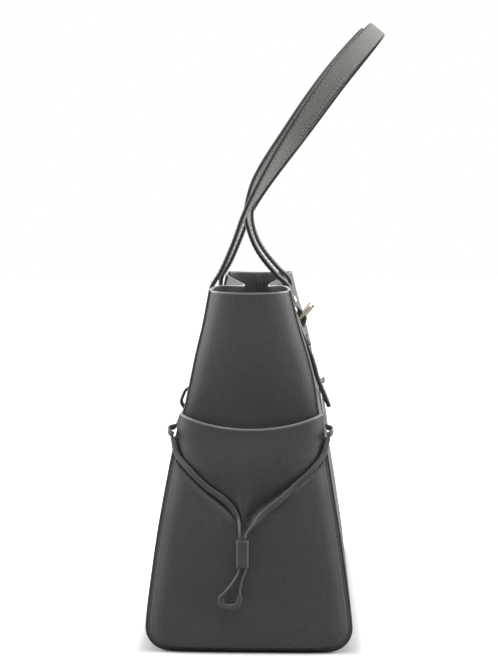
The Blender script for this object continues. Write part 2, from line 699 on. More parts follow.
pocket_x = np.linspace(-1, 1, 41) * POCKET_WIDTH / 2
pocket_z = np.linspace(INNER_POCKET_LOW, INNER_POCKET_HIGH, 31)[:, None] + 0 * pocket_x
pocket_y = face_y(BACK, pocket_x, pocket_z) - inset - LINING - LINING_GAP
inner_grid = np.stack([pocket_x + 0 * pocket_z, pocket_y, pocket_z], axis=2)
inner_uv = np.stack([pocket_x + 0 * pocket_z, pocket_z], axis=2)
inner_pocket = hide("inner_slip_pocket", inner_grid, (0, 1, 0), [lining_cloth], thickness=0.0012,
                    uv=inner_uv)
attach(inner_pocket, "bag")
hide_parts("inner_pocket")

# Inside each end a narrow leather strip covers the seam from the mouth down to the lining, with a
# row of stitches along both sides and a creased middle.
SEAM_STRIP = 0.0076
SEAM_STRIP_LIFT = 0.0009
SEAM_STRIP_LAP = 0.004
SEAM_STRIP_TOP_GAP = 0.0042
strip_heights = np.linspace(BODY_HEIGHT - LINING_DROP - SEAM_STRIP_LAP,
                            BODY_HEIGHT - SEAM_STRIP_TOP_GAP, 30)
strip_across = np.array([-1.0, -0.97, -0.7, -0.3, -0.1, -0.03, 0.03, 0.1, 0.3, 0.7, 0.97, 1.0])
strip_lift = SEAM_STRIP_LIFT * np.array([0, 0.8, 1, 1, 0.8, 0, 0, 0.8, 1, 1, 0.8, 0])
for side in (LEFT, RIGHT):
    z = strip_heights[:, None] + 0 * strip_across
    y = middle_y(z) + strip_across * SEAM_STRIP / 2
    inner = end_reach(0 * z, z, shoulder=gusset_shoulder(z)) - LEATHER + 0.0002
    grid = np.stack([side * (inner - strip_lift), y, z], axis=2)[:, ::side]
    strip = add_piece(f"seam_strip_{SIDE_NAMES[side]}", grid, [*grid_quads(30, 12)[:, ::-1]],
                      [body_leather])
    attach(strip, "bag")
    rows = []
    for way in (-1, 1):
        x = side * (inner[:, 0] - SEAM_STRIP_LIFT)
        y = middle_y(strip_heights) + way * SEAM_STRIP * 0.3
        rows.append((np.stack([x, y, strip_heights], axis=1), np.tile((-side, 0.0, 0.0), (30, 1))))
    seam = stitches(f"seam_strip_{SIDE_NAMES[side]}_stitches", rows)
    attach(seam, "bag")

BOARD_COLOUR = (0.30, 0.27, 0.22)
board_material = leather("Grey board", BOARD_COLOUR, 0.0007, 0.00005, (0.8, 0.95), drift=0.3)
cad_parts["base_board"].data.materials[0] = board_material

# The handles
# Two rolled straps of the same leather, 18 mm wide, with painted edges, a creased line and a row of
# stitches along each side. Each end is sewn flat on its face and folds just over the top of that
# tab.
STRAP_WIDTH = 0.018
STRAP_THICKNESS = 0.0040
BACK_LEG_X = 0.088
FRONT_LEG_X = 0.069
HINGE_HEIGHT = 0.291
HINGE_CLEARANCE = 0.0005
STRAP_GAP = 0.0016
LEG_START = 0.0004
TAB_LENGTH = 0.036
TAB_END_GAP = 0.003
BACK_RISE = 0.2475
BACK_REACH = 0.1515
FRONT_RISE = 0.2431
FRONT_REACH = 0.0725
BACK_HANDLE_SHARES = (
    (0.0, 0.0), (0.05, 0.010), (0.10, 0.059), (0.20, 0.132), (0.31, 0.203), (0.424, 0.308),
    (0.60, 0.498), (0.817, 0.754), (1.0, 1.0),
)
FRONT_HANDLE_SHARES = (
    (0.0, 0.0), (0.045, -0.014), (0.09, -0.165), (0.177, -0.397), (0.248, -0.501), (0.315, -0.539),
    (0.370, -0.505), (0.441, -0.408), (0.618, 0.011), (0.839, 0.550), (1.0, 1.0),
)
LEG_FIRST_SHARE = 0.02
ARCH_START_SHARE = 0.62
TWIST_START_SHARE = 0.20
TWIST_END_SHARE = 0.92
STRAP_COLOUR = (0.215, 0.211, 0.200)
STRAP_EDGE_COLOUR = (0.072, 0.069, 0.065)
STRAP_STITCH_RADIUS = 0.00026
STRAP_STITCH_INSET = 0.0029
STRAP_STITCH_SINK = 0.00008
CREASE_INSET = 0.0017
CREASE_WIDTH = 0.00028
CREASE_DEPTH = 0.00012
PAINT_REACH = 0.0010
strap_leather = leather("Strap leather", STRAP_COLOUR, 0.0009, 0.00012, (0.42, 0.58))
strap_edge = leather("Painted strap edge", STRAP_EDGE_COLOUR, 0.0006, 0.00003, (0.3, 0.45))


def route(points, count, followers=()):
    """Evenly spaced points on a smooth curve through the given ones, and what follows them."""
    points = np.array(points, float)
    run = length_along(points)
    fine = np.linspace(0, run[-1], 20 * count)
    curve = np.stack([smooth(tuple(zip(run, axis)), fine) for axis in points.T], axis=1)
    length = length_along(curve)
    even = np.linspace(0, length[-1], count)
    made = np.stack([np.interp(even, length, axis) for axis in curve.T], axis=1)
    if not len(followers):
        return made
    at = np.interp(even, length, fine)
    return made, np.stack([np.interp(at, run, axis) for axis in np.array(followers).T], axis=1)


def strap_section(width, thickness, crease, power, paint):
    """A strap's section: a superellipse, so it is crowned and round-edged, with a creased line
    near each side. Returns the offsets across and through it, and which parts are the edges."""
    half, deep = width / 2, thickness / 2
    line = 1 - CREASE_INSET / half
    near = np.array([0.0, 0.25, 0.5, 0.7, line - 0.05, line - 0.025, line, line + 0.025,
                     line + 0.05, 0.93, 0.96, 0.98, 0.992])
    near = np.unique(near[near < 0.995])
    over = np.concatenate([-near[:0:-1], near])
    lift = deep * (1 - np.abs(over) ** power) ** (1 / power)
    groove = crease * np.exp(-(((np.abs(over) - line) * half / CREASE_WIDTH) ** 2))
    top = np.stack([over * half, lift - groove], axis=1)
    low = np.stack([over[::-1] * half, -(lift - groove)[::-1]], axis=1)
    tips = np.array([[half, 0.0]]), np.array([[-half, 0.0]])
    section = np.concatenate([top, tips[0], low, tips[1]])
    middle = (section[:, 0] + np.roll(section[:, 0], -1, axis=0)) / 2
    return section, (np.abs(middle) > half - paint).astype(int)


def tube(name, rings, materials, joined=False):
    """A closed mesh from rings of points, capped at both ends or joined end to end."""
    rows, count = rings.shape[:2]
    ends, last = np.arange(count), (rows - 1) * count
    faces = [*grid_quads(rows, count, closed=True)]
    if joined:
        faces += [*np.stack([last + ends, last + np.roll(ends, -1), np.roll(ends, -1), ends], 1)]
    else:
        faces += [ends[::-1], ends + last]
    return face_outwards(add_piece(name, rings, faces, materials))


def strap_sides(points, across):
    """The directions across and through a strap at each of its points."""
    ways = unit(np.gradient(points, axis=0))
    side = unit(across - ways * (across * ways).sum(1, keepdims=True))
    return side, np.cross(ways, side)


def strap(name, points, across, width, thickness, materials, round_ends=0.0,
          crease=CREASE_DEPTH, power=4.0, paint=PAINT_REACH):
    """A strap: its section is carried along the points, its width along the given directions."""
    section, is_edge = strap_section(width, thickness, crease, power, paint)
    side, through = strap_sides(points, across)
    run = length_along(points)
    narrow = np.ones(len(points))
    if round_ends:
        from_end = np.clip(np.minimum(run, run[-1] - run) / round_ends, 0, 1)
        narrow = 0.35 + 0.65 * np.sqrt(1 - (1 - from_end) ** 2)
    rings = (points[:, None, :]
             + (section[:, 0] * narrow[:, None])[:, :, None] * side[:, None, :]
             + section[:, 1][None, :, None] * through[:, None, :])
    made = tube(name, rings, materials)
    kinds = np.concatenate([np.tile(is_edge, len(points) - 1), [1, 1]])
    made.data.polygons.foreach_set("material_index", kinds.astype(np.int32))
    return made


def strap_stitches(name, points, across, width, thickness, inset=STRAP_STITCH_INSET):
    """Two rows of stitches on each face of a strap, one inside each creased line."""
    side, through = strap_sides(points, across)
    lift = thickness / 2 * (1 - (1 - 2 * inset / width) ** 4) ** 0.25 - STRAP_STITCH_SINK
    rows = [(points + edge * (width / 2 - inset) * side + face * lift * through, face * through)
            for edge in (-1, 1) for face in (-1, 1)]
    return stitches(name, rows, strap_leather, STRAP_STITCH_RADIUS)


def hinge_place(face, leg_x):
    """Where a handle's leg folds: just outside the strap, over the top of its sewn tab."""
    wall = face_y(face, leg_x, HINGE_HEIGHT)
    return wall + face * (STRAP_GAP + STRAP_THICKNESS + HINGE_CLEARANCE)


def handle_path(face):
    """A handle's centre line from tab to tab, and the direction of its width at each point.
    The side view comes from the table; over the last part of the rise the legs meet in an arch."""
    if face == BACK:
        leg_x, rise, reach, table = BACK_LEG_X, BACK_RISE, BACK_REACH, BACK_HANDLE_SHARES
    else:
        leg_x, rise, reach, table = FRONT_LEG_X, FRONT_RISE, FRONT_REACH, FRONT_HANDLE_SHARES
    start_y = hinge_place(face, leg_x) - face * (HINGE_CLEARANCE + STRAP_THICKNESS / 2)
    legs = np.linspace(LEG_FIRST_SHARE, ARCH_START_SHARE, 60, endpoint=False)
    turn = np.linspace(0, math.pi / 2, 48)
    up = np.concatenate([legs, ARCH_START_SHARE + (1 - ARCH_START_SHARE) * np.sin(turn)])
    x = np.concatenate([np.full(len(legs), leg_x), leg_x * np.cos(turn)])
    z = HINGE_HEIGHT + rise * up
    y = start_y - reach * smooth(table, up)
    step = 0.01
    slope = reach * (smooth(table, up + step) - smooth(table, up - step))
    climb = rise * (np.clip(up + step, 0, 1) - np.clip(up - step, 0, 1))
    normal = unit(np.stack([0 * up, climb, slope], axis=1))
    twist = math.pi / 2 * ease((up - TWIST_START_SHARE) / (TWIST_END_SHARE - TWIST_START_SHARE))
    width = np.sin(twist)[:, None] * normal
    width[:, 0] = np.cos(twist)
    tilt = float(face_normal(face, np.array(leg_x), HINGE_HEIGHT)[2])
    tab_top = HINGE_HEIGHT - LEG_START - STRAP_THICKNESS * tilt
    tab_z = np.linspace(tab_top - TAB_LENGTH, tab_top - TAB_END_GAP, 16)
    tab_x = np.full(16, leg_x)
    out = face_normal(face, tab_x, tab_z)
    stand_off = SEAM_GAP + STRAP_THICKNESS / 2
    tab = np.stack([tab_x, face_y(face, tab_x, tab_z), tab_z], axis=1) + stand_off * out
    right = np.concatenate([tab, np.stack([x, y, z], axis=1)])
    width = np.concatenate([np.tile((1.0, 0.0, 0.0), (16, 1)), width])
    mirror = np.array([-1, 1, 1])
    points = np.concatenate([right, (right * mirror)[-2::-1]])
    across = np.concatenate([width, (width * mirror)[-2::-1]])
    points, across = route(points, 460, across)
    return points, unit(across)


for face in (BACK, FRONT):
    name = FACE_NAMES[face]
    points, across = handle_path(face)
    body = f"{name}_handle"
    made = strap(f"handle_{name}_strap", points, across, STRAP_WIDTH, STRAP_THICKNESS,
                 [strap_leather, strap_edge], round_ends=0.004)
    sewn = strap_stitches(f"handle_{name}_stitches", points[6:-6], across[6:-6], STRAP_WIDTH,
                          STRAP_THICKNESS)
    for piece in (made, sewn):
        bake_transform(piece)
    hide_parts(f"handle_{name}", f"handle_tab_{name}_left",
                f"handle_tab_{name}_right")

# The rivets
# A domed pale gold rivet pins each sewn strap end. Its head stands on a thin rim.
RIVET_RADIUS = 0.0042
RIVET_HEIGHT = 0.0014
RIVET_RIM = 0.00045
RIVET_SINK = 0.0002
DOME_RADIUS = 0.0035
RIVET_DROP = 0.011
RUNNING_GAP = 0.0003
GOLD_COLOUR = (0.86, 0.78, 0.62)


def metal(name, colour, roughness):
    """Polished plated metal: faint brushing and small cloudy patches in its gloss."""
    made, tree, shader = new_material(name)
    place = node(tree, "TexCoord").outputs["Object"]
    stretch = node(tree, "Mapping", {"Vector": place, "Scale": (1.0, 14.0, 14.0)})
    brushing = node(tree, "TexNoise", {"Vector": stretch.outputs["Vector"], "Scale": 900,
                                       "Detail": 4})
    cloud = node(tree, "TexNoise", {"Vector": place, "Scale": 240}).outputs["Fac"]
    gloss = node(tree, "MapRange", {"Value": cloud, "To Min": roughness * 0.7,
                                    "To Max": roughness * 1.4})
    tint = node(tree, "MixRGB", {"Fac": cloud, "Color1": (*[c * 0.90 for c in colour], 1),
                                 "Color2": (*[min(1.0, c * 1.08) for c in colour], 1)})
    relief = node(tree, "Bump", {"Distance": 0.00002, "Strength": 0.4,
                                 "Height": brushing.outputs["Fac"]})
    fill(shader, {"Metallic": 1.0, "Roughness": gloss.outputs["Result"],
                  "Base Color": tint.outputs["Color"], "Normal": relief.outputs["Normal"]})
    return made


gold = metal("Pale gold plating", GOLD_COLOUR, 0.27)


def turned(name, profile, centre, axis, material, count=40):
    """A turned shape: a profile of (radius, height) pairs, spun round an axis from its foot."""
    axis = unit(np.array(axis, float))
    aside = unit(np.cross(axis, (1.0, 0.0, 0.0) if abs(axis[0]) < 0.9 else (0.0, 1.0, 0.0)))
    other = np.cross(axis, aside)
    angle = np.linspace(0, 2 * math.pi, count, endpoint=False)
    spoke = np.cos(angle)[:, None] * aside + np.sin(angle)[:, None] * other
    profile = np.array(profile, float)
    grid = centre + profile[:, 0, None, None] * spoke + profile[:, 1, None, None] * axis
    return tube(name, grid, [material])


dome = [(0.0032, 0.0), (RIVET_RADIUS, 0.0), (RIVET_RADIUS, 0.0003), (0.0040, RIVET_RIM),
        (0.00355, RIVET_RIM)]
dome += [(DOME_RADIUS * math.cos(a), RIVET_RIM + (RIVET_HEIGHT - RIVET_RIM) * math.sin(a))
         for a in np.radians(np.arange(10, 90, 10))] + [(0.00004, RIVET_HEIGHT)]
for face in (BACK, FRONT):
    for side in (LEFT, RIGHT):
        x = np.array(side * (BACK_LEG_X if face == BACK else FRONT_LEG_X))
        z = HINGE_HEIGHT - RIVET_DROP
        out = face_normal(face, x, z)
        foot = np.array([float(x), float(face_y(face, x, z)), z])
        foot = foot + out * (SEAM_GAP + STRAP_THICKNESS + RUNNING_GAP - RIVET_SINK)
        name = f"rivet_{FACE_NAMES[face]}_{SIDE_NAMES[side]}"
        head = turned(f"{name}_head", dome, foot, out, gold)
        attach(head, "bag")
        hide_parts(name)

# The closing belt
# A single strap, sewn inside the back, that crosses the mouth and comes out of a slot in the front.
# It turns down round the buckle's bar and through the keeper, and its free end stands off the face.
BELT_WIDTH = 0.016
BELT_THICKNESS = 0.0034
BELT_STITCH_INSET = 0.0032
BELT_EDGE = 0.0042
BELT_ANCHOR = 0.020
BUCKLE_HEIGHT = 0.268
BUCKLE_BAR_Y = -0.04239
BUCKLE_LENGTH = 0.0176
BUCKLE_TILT = math.radians(39)
BUCKLE_WIRE = 0.0016
BUCKLE_SIDE_GAP = 0.0016
PRONG_WIRE = 0.0010
PRONG_SLOT = 0.01425
PRONG_SLOT_DEPTH = 0.016
CHAPE_THICKNESS = 0.0010
CHAPE_LENGTH = 0.034
KEEPER_THICKNESS = 0.0014
KEEPER_LENGTH = 0.009
KEEPER_HEIGHT = 0.2445
TAIL_LEAVES = 0.212
TAIL_END = 0.183
TAIL_STAND_OFF = 0.0068
LACE_WIDTH = 0.005
LACE_THICKNESS = 0.0020
LACE_HEIGHT = 0.188
LACE_CLEARANCE = 0.0008
HOLE_RADIUS = 0.0011
HOLE_DEPTH = 0.01
HOLE_HEIGHTS = (0.2200, 0.2075, 0.1950)
middle = np.zeros(1)


def face_route(face, heights, stand_off):
    """Points down the middle of a face, off it by a distance."""
    z = np.array(heights, float)
    x = 0 * z
    return np.stack([x, face_y(face, x, z), z], axis=1) + stand_off * face_normal(face, x, z)


def front_at(z):
    """The front face's y in the middle of the bag."""
    return float(face_y(FRONT, 0.0, z))


bar = np.array([0.0, BUCKLE_BAR_Y, BUCKLE_HEIGHT])
buckle_axis = np.array([0.0, -math.sin(BUCKLE_TILT), math.cos(BUCKLE_TILT)])
half = BELT_THICKNESS / 2
anchor_heights = np.linspace(BELT_CROSSING - BELT_ANCHOR, BELT_CROSSING - half * 5, 5)
anchor = face_route(BACK, anchor_heights, -(LEATHER + 5 * SEAM_GAP + half))
slot_y, back_y = front_at(BELT_CROSSING), anchor[-1][1]
crossing = np.array([
    (0, back_y - half * 2.5, BELT_CROSSING - half), (0, back_y - half * 6, BELT_CROSSING),
    (0, (back_y + slot_y) / 2, BELT_CROSSING), (0, slot_y + LEATHER * 2, BELT_CROSSING),
    (0, slot_y - LEATHER * 2, BELT_CROSSING - half / 2),
])
clear = BUCKLE_WIRE + CHAPE_THICKNESS + 3 * RUNNING_GAP + half
bend = np.radians([38, 8, -20])
round_bar = bar + clear * np.stack([0 * bend, -np.cos(bend), np.sin(bend)], axis=1)
chape_off = SEAM_GAP + CHAPE_THICKNESS + 3 * RUNNING_GAP + half
down = face_route(FRONT, np.linspace(BUCKLE_HEIGHT - clear * 2.4, TAIL_LEAVES, 6), chape_off)
over_lace = LACE_HEIGHT + LACE_WIDTH
lace_room = 3 * LACE_CLEARANCE + LACE_THICKNESS + half
tail = np.array([(0, front_at(over_lace) - lace_room, over_lace),
                 (0, front_at(TAIL_END) - TAIL_STAND_OFF, TAIL_END)])
belt_path = route(np.concatenate([anchor, crossing, round_bar, down, tail]), 240)


def cut_out(made, cutters):
    """Take the cutters out of a finished mesh, and remove them."""
    for cutter in cutters:
        cut = made.modifiers.new("Cut", "BOOLEAN")
        cut.operation = "DIFFERENCE"
        cut.object = cutter
    view = bpy.context.evaluated_depsgraph_get()
    final = bpy.data.meshes.new_from_object(made.evaluated_get(view))
    made.modifiers.clear()
    made.data = final
    for cutter in cutters:
        bpy.data.objects.remove(cutter, do_unlink=True)


def slot_cutter(centre, way, across, out, width, length, depth):
    """A rounded slot: a racetrack outline, pushed straight through along out."""
    angle = np.radians(np.concatenate([np.arange(-90, 91, 18), np.arange(90, 271, 18)]))
    ends = np.where(np.arange(len(angle)) < len(angle) / 2, 1.0, -1.0) * (length - width) / 2
    ring = ((ends + np.cos(angle) * width / 2)[:, None] * np.array(way)
            + (np.sin(angle) * width / 2)[:, None] * np.array(across))
    reach = depth / 2 * np.array(out)
    return tube("cutter", np.stack([centre + ring - reach, centre + ring + reach]), [])


belt = strap("closing_belt_strap", belt_path, ALONG_X, BELT_WIDTH, BELT_EDGE,
             [strap_leather, strap_edge], round_ends=0.007, power=5.0, paint=0.0018)
ways = unit(np.gradient(belt_path, axis=0))
cutters = []
for z in HOLE_HEIGHTS:
    near = int(np.argmin(np.abs(belt_path[150:, 2] - z))) + 150
    out = np.cross(ways[near], ALONG_X)
    cutters.append(slot_cutter(belt_path[near], ways[near], (1, 0, 0), out, 2 * HOLE_RADIUS,
                               2.02 * HOLE_RADIUS, HOLE_DEPTH))
near = int(np.argmin(np.abs(belt_path[:, 2] - BUCKLE_HEIGHT) + 9 * (belt_path[:, 1] > bar[1])))
cutters.append(slot_cutter(belt_path[near], (0, 0, 1), (1, 0, 0), (0, -1, 0),
                           2 * PRONG_WIRE + 5 * RUNNING_GAP, PRONG_SLOT, PRONG_SLOT_DEPTH))
cut_out(belt, cutters)
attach(belt, "bag")
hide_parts("closing_belt")
belt_sewn = strap_stitches("closing_belt_stitches", belt_path[84:-6], ALONG_X, BELT_WIDTH,
                           BELT_EDGE, BELT_STITCH_INSET)
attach(belt_sewn, "bag")

# The buckle, its chape and the keeper
# A rectangular frame of pale gold wire with one prong. Thin leather, sewn to the front, turns round
# the heel bar and holds it. Below it a loop of the strap leather holds the belt's tail.
def rounded_ring(half_x, half_y, radius):
    """The points round a rectangle with rounded corners."""
    ring = []
    for sx, sy, start in ((1, 1, 0), (-1, 1, 90), (-1, -1, 180), (1, -1, 270)):
        for a in np.radians(np.arange(0, 91, 9) + start):
            ring.append((sx * (half_x - radius) + radius * math.cos(a),
                         sy * (half_y - radius) + radius * math.sin(a)))
    return np.array(ring)


def wire(name, points, radius, normal, material, joined=False, flat=1.0, tip=0.0):
    """A wire: a circle carried along the points; flat squeezes it, tip narrows its last end."""
    ways = np.gradient(points, axis=0)
    if joined:
        ways = np.roll(points, -1, axis=0) - np.roll(points, 1, axis=0)
    ways = unit(ways)
    normal = np.broadcast_to(np.array(normal, float), points.shape)
    side = unit(np.cross(ways, normal))
    through = np.cross(side, ways)
    angle = np.linspace(0, 2 * math.pi, 20, endpoint=False)
    size = np.full(len(points), radius)
    if tip:
        size[-4:] *= np.array([1.0, 0.94, 0.8, tip])
    ring = (np.cos(angle)[None, :, None] * side[:, None, :]
            + flat * np.sin(angle)[None, :, None] * through[:, None, :])
    return tube(name, points[:, None, :] + ring * size[:, None, None], [material], joined)


outline = rounded_ring(BELT_WIDTH / 2 + BUCKLE_SIDE_GAP + BUCKLE_WIRE, BUCKLE_LENGTH / 2,
                       2 * BUCKLE_WIRE)
frame_path = bar + outline[:, :1] * ALONG_X + (outline[:, 1:] + BUCKLE_LENGTH / 2) * buckle_axis
frame_out = np.cross(ALONG_X, buckle_axis)
buckle = wire("buckle_frame_wire", frame_path, BUCKLE_WIRE, frame_out, gold, joined=True, flat=0.92)
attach(buckle, "bag")
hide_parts("buckle_frame")

out = np.array([0.0, -buckle_axis[2], buckle_axis[1]])
radius = BUCKLE_WIRE + RUNNING_GAP + PRONG_WIRE
hook = [bar + radius * (math.cos(a) * out + math.sin(a) * buckle_axis)
        for a in np.radians(np.linspace(-190, 0, 20))]
straight = [bar + radius * out + share * BUCKLE_LENGTH * buckle_axis
            for share in (0.15, 0.3, 0.5, 0.7, 0.9, 1.0, 1.05, 1.08, 1.1)]
prong = wire("buckle_prong_wire", np.array(hook + straight), PRONG_WIRE, ALONG_X, gold,
             flat=0.85, tip=0.55)
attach(prong, "prong")
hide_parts("buckle_prong")

radius = BUCKLE_WIRE + RUNNING_GAP + CHAPE_THICKNESS / 2
sewn = face_route(FRONT, np.linspace(BUCKLE_HEIGHT - CHAPE_LENGTH, BUCKLE_HEIGHT - 3 * radius, 8),
                  SEAM_GAP + CHAPE_THICKNESS / 2)
angle = np.radians(np.linspace(-30, 190, 24))
round_heel = bar + radius * np.stack([0 * angle, np.cos(angle), np.sin(angle)], axis=1)
chape_path = route(np.concatenate([sewn, round_heel]), 90)
chape = strap("buckle_chape_leather", chape_path, ALONG_X, BELT_WIDTH,
              CHAPE_THICKNESS, [strap_leather, strap_edge], crease=0.00006, power=6.0)
reach = BUCKLE_WIRE + RUNNING_GAP + CHAPE_THICKNESS * 2
cut_out(chape, [slot_cutter(bar + np.array([0, 0, -0.0004]), (0, 0, 1), (1, 0, 0), (0, -1, 0),
                            2 * PRONG_WIRE + 4 * RUNNING_GAP, 2.3 * reach, 2.2 * reach)])
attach(chape, "bag")
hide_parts("buckle_chape")

wall = KEEPER_THICKNESS
side_x = BELT_WIDTH / 2 + RUNNING_GAP + wall
foot = 2 * SEAM_GAP + wall / 2
top = foot + CHAPE_THICKNESS + BELT_THICKNESS + 4 * RUNNING_GAP + wall / 2
shape = [(side_x + 3 * wall, foot), (side_x + 1.2 * wall, foot),
         (side_x + 0.2 * wall, foot + 0.3 * wall), (side_x, foot + wall), (side_x, top - wall),
         (side_x - 0.2 * wall, top - 0.3 * wall), (side_x - wall, top)]
shape = np.array(shape + [(0.0, top + 0.0002)] + [(-x, y) for x, y in shape[::-1]])
keeper_out = face_normal(FRONT, middle, np.full(1, KEEPER_HEIGHT))[0]
keeper_x, keeper_z = shape[:, 0], np.full(len(shape), KEEPER_HEIGHT)
keeper_path = np.stack([keeper_x, face_y(FRONT, keeper_x, keeper_z), keeper_z], axis=1)
keeper_path = route(keeper_path + shape[:, 1:] * keeper_out, 90)
keeper_up = np.cross(keeper_out, ALONG_X)
keeper = strap("belt_keeper_loop", keeper_path, keeper_up, KEEPER_LENGTH, KEEPER_THICKNESS,
               [strap_leather, strap_edge], crease=0.00008)
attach(keeper, "bag")
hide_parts("belt_keeper")

# The waist lace
# A flat leather lace, 5 mm wide, lies along each face at the height of the pockets, turns round the
# four corners and comes down each end in a V. On the back it runs through a leather loop.
LACE_CORNER = 0.0045
LACE_CORNER_DROP = 0.0035
LACE_BOW = 0.0036
ARM_START_DROP = 0.0025
TURN_SHARE = 0.35
ARM_SINK_SHARE = 0.8
LACE_COLOUR = (0.162, 0.158, 0.151)
LACE_EDGE_COLOUR = (0.200, 0.195, 0.187)
SLIDER_LENGTH = 0.023
SLIDER_WALL = 0.0012
SLIDER_EDGE = 0.0003
SLIDER_CORNER = 1.6 * SLIDER_WALL
SLIDER_WAIST = 0.02
SLIDER_STITCH_Y = 0.0034
SLIDER_STITCH_INSET = 0.0012
STRAND_SPACING = 0.0048
LACE_KEEPER_WIDTH = 0.012
LACE_KEEPER_REACH = 0.019
LACE_KEEPER_RAISE = 0.0020
LACE_KEEPER_SLACK = 0.0030
FRONT_ARM_SHARES = (
    (0.0, 0.0), (0.0, 0.03), (0.035, 0.08), (0.123, 0.165), (0.238, 0.265), (0.445, 0.403),
    (0.62, 0.532), (0.808, 0.676), (0.946, 0.83), (1.0, 1.0),
)
BACK_ARM_SHARES = (
    (0.0, 0.0), (0.0, 0.06), (0.03, 0.176), (0.11, 0.284), (0.255, 0.390), (0.496, 0.503),
    (0.753, 0.673), (0.94, 0.83), (1.0, 1.0),
)
lace_leather = leather("Lace leather", LACE_COLOUR, 0.0007, 0.00008, (0.38, 0.52))
lace_edge = leather("Lace edge", LACE_EDGE_COLOUR, 0.0005, 0.00003, (0.35, 0.5))
lace_off = LACE_CLEARANCE + LACE_THICKNESS / 2
strand_off = LACE_CLEARANCE + SLIDER_WALL + RUNNING_GAP + LACE_WIDTH / 2


def lace(name, points, across):
    """A lace: a softly crowned strap with no creased line."""
    return strap(name, points, across, LACE_WIDTH, LACE_THICKNESS, [lace_leather, lace_edge],
                 crease=0.0, power=3.0)


def lace_corner(face):
    """The places along x, across and up where the lace turns the right-hand corner."""
    end_x = half_length(LACE_HEIGHT) + pocket_lift + lace_off
    side_y = half_depth(LACE_HEIGHT) + LACE_BOW + 2 * LACE_CLEARANCE + lace_off
    turn = np.radians([0, 30, 60, 90])
    x = end_x + LACE_CORNER * (np.sin(turn) - 1)
    y = middle_y(LACE_HEIGHT) + face * (side_y + LACE_CORNER * (np.cos(turn) - 1))
    z = LACE_HEIGHT - LACE_CORNER_DROP * ease(np.linspace(0.1, 1, 4))
    return np.stack([x, y, z], axis=1)


for face in (FRONT, BACK):
    flat = np.linspace(0, half_length(LACE_HEIGHT) - 4 * LACE_CORNER, 9)
    y = face_y(face, flat, LACE_HEIGHT) + face * (lace_off + LACE_CLEARANCE)
    on_line = np.stack([flat, y, np.full(9, LACE_HEIGHT)], axis=1)
    half_path = np.concatenate([on_line, lace_corner(face)])
    mirrored = (half_path * np.array([-1, 1, 1]))[:0:-1]
    points = route(np.concatenate([mirrored, half_path]), 300)
    normal = face_normal(face, middle, np.full(1, LACE_HEIGHT))[0]
    on_face = ease((flat[-1] + LACE_CORNER - np.abs(points[:, 0])) / LACE_CORNER)
    across = np.stack([0 * on_face, -normal[2] / normal[1] * on_face, 1 + 0 * on_face], axis=1)
    stretch = lace(f"lace_{FACE_NAMES[face]}_strand", points, across)
    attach(stretch, "bag")
    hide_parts(f"lace_{FACE_NAMES[face]}")


def pocket_out(side, y, z):
    """The outward direction of the end pocket, from its slopes."""
    step = 0.001
    over = pocket_at(side, y + step, z) - pocket_at(side, y - step, z)
    up = pocket_at(side, y, z + step) - pocket_at(side, y, z - step)
    return unit(np.cross(over, up) * side)


for side in (LEFT, RIGHT):
    for face in (FRONT, BACK):
        start = lace_corner(face)[-1]
        top_y, top_z = start[1], start[2] - ARM_START_DROP
        table = np.array(FRONT_ARM_SHARES if face == FRONT else BACK_ARM_SHARES)
        enter_z = LACE_V_LOW + 2 * SEAM_GAP
        strand_y = LACE_V_MIDDLE + face * STRAND_SPACING / 2
        y = strand_y + (top_y - strand_y) * table[:, 0]
        z = enter_z + (top_z - enter_z) * table[:, 1]
        off = lace_off + (strand_off - lace_off) * (1 - ease(table[:, 1] / TURN_SHARE))
        points = pocket_at(side, y, z) + off[:, None] * pocket_out(side, y, z)
        points[:, 0] -= side * ARM_SINK_SHARE * lace_hollow(y, z)
        points = route(points, 150)
        ways = unit(np.gradient(points, axis=0))
        level = np.clip((points[:, 2] - enter_z) / (top_z - enter_z), 0, 1)
        edge = (1 - ease(level / TURN_SHARE))[:, None]
        normals = pocket_out(side, points[:, 1], points[:, 2])
        across = unit(np.cross(ways, normals)) * (1 - edge) + face * normals * edge
        name = f"lace_arm_{SIDE_NAMES[side]}_{FACE_NAMES[face]}"
        arm = lace(f"{name}_strand", points, across)
        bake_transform(arm)
        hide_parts(name)

out = 2 * LACE_CLEARANCE + LACE_THICKNESS + 2 * RUNNING_GAP + LACE_KEEPER_SLACK
foot = 2 * SEAM_GAP + KEEPER_THICKNESS / 2
loop_ups = np.array([-1, -0.7, -0.5, -0.3, 0.0, 0.3, 0.5, 0.7, 1])
loop_outs = np.array([0, 0, 0.4, 1.0, 1.1, 1.0, 0.4, 0, 0])
loop_heights = LACE_HEIGHT + LACE_KEEPER_RAISE + loop_ups * LACE_KEEPER_REACH
loop_path = route(face_route(BACK, loop_heights, (foot + out * loop_outs)[:, None]), 110)
lace_keeper = strap("lace_keeper_loop", loop_path, ALONG_X, LACE_KEEPER_WIDTH,
                    2.1 * KEEPER_THICKNESS, [strap_edge, strap_edge], round_ends=0.003,
                    crease=0.00008)
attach(lace_keeper, "bag")
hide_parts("lace_keeper")

# The sliders and the hanging loops
# Both strands of each V go through a short tube of rolled leather, which slides, and turn back
# below it in a hanging loop. The tube's seam is butted and sewn, and its ends are painted.
LOOP_WIDTH = 0.0172
LOOP_DROP = 0.034
LOOP_SHARES = (
    (0.14, 0.0), (0.16, 0.10), (0.50, 0.40), (0.90, 0.66), (1.04, 0.80), (1.02, 0.92),
    (0.80, 0.985), (0.50, 0.99), (0.26, 0.95), (0.17, 0.80), (0.14, 0.62), (0.02, 0.32),
    (-0.14, 0.09), (-0.14, 0.0),
)
LOOP_TURN = math.radians(84)
LOOP_TURN_START = 0.56
LOOP_TURN_SPAN = 0.30
LOOP_TURN_LIFT = 0.0006


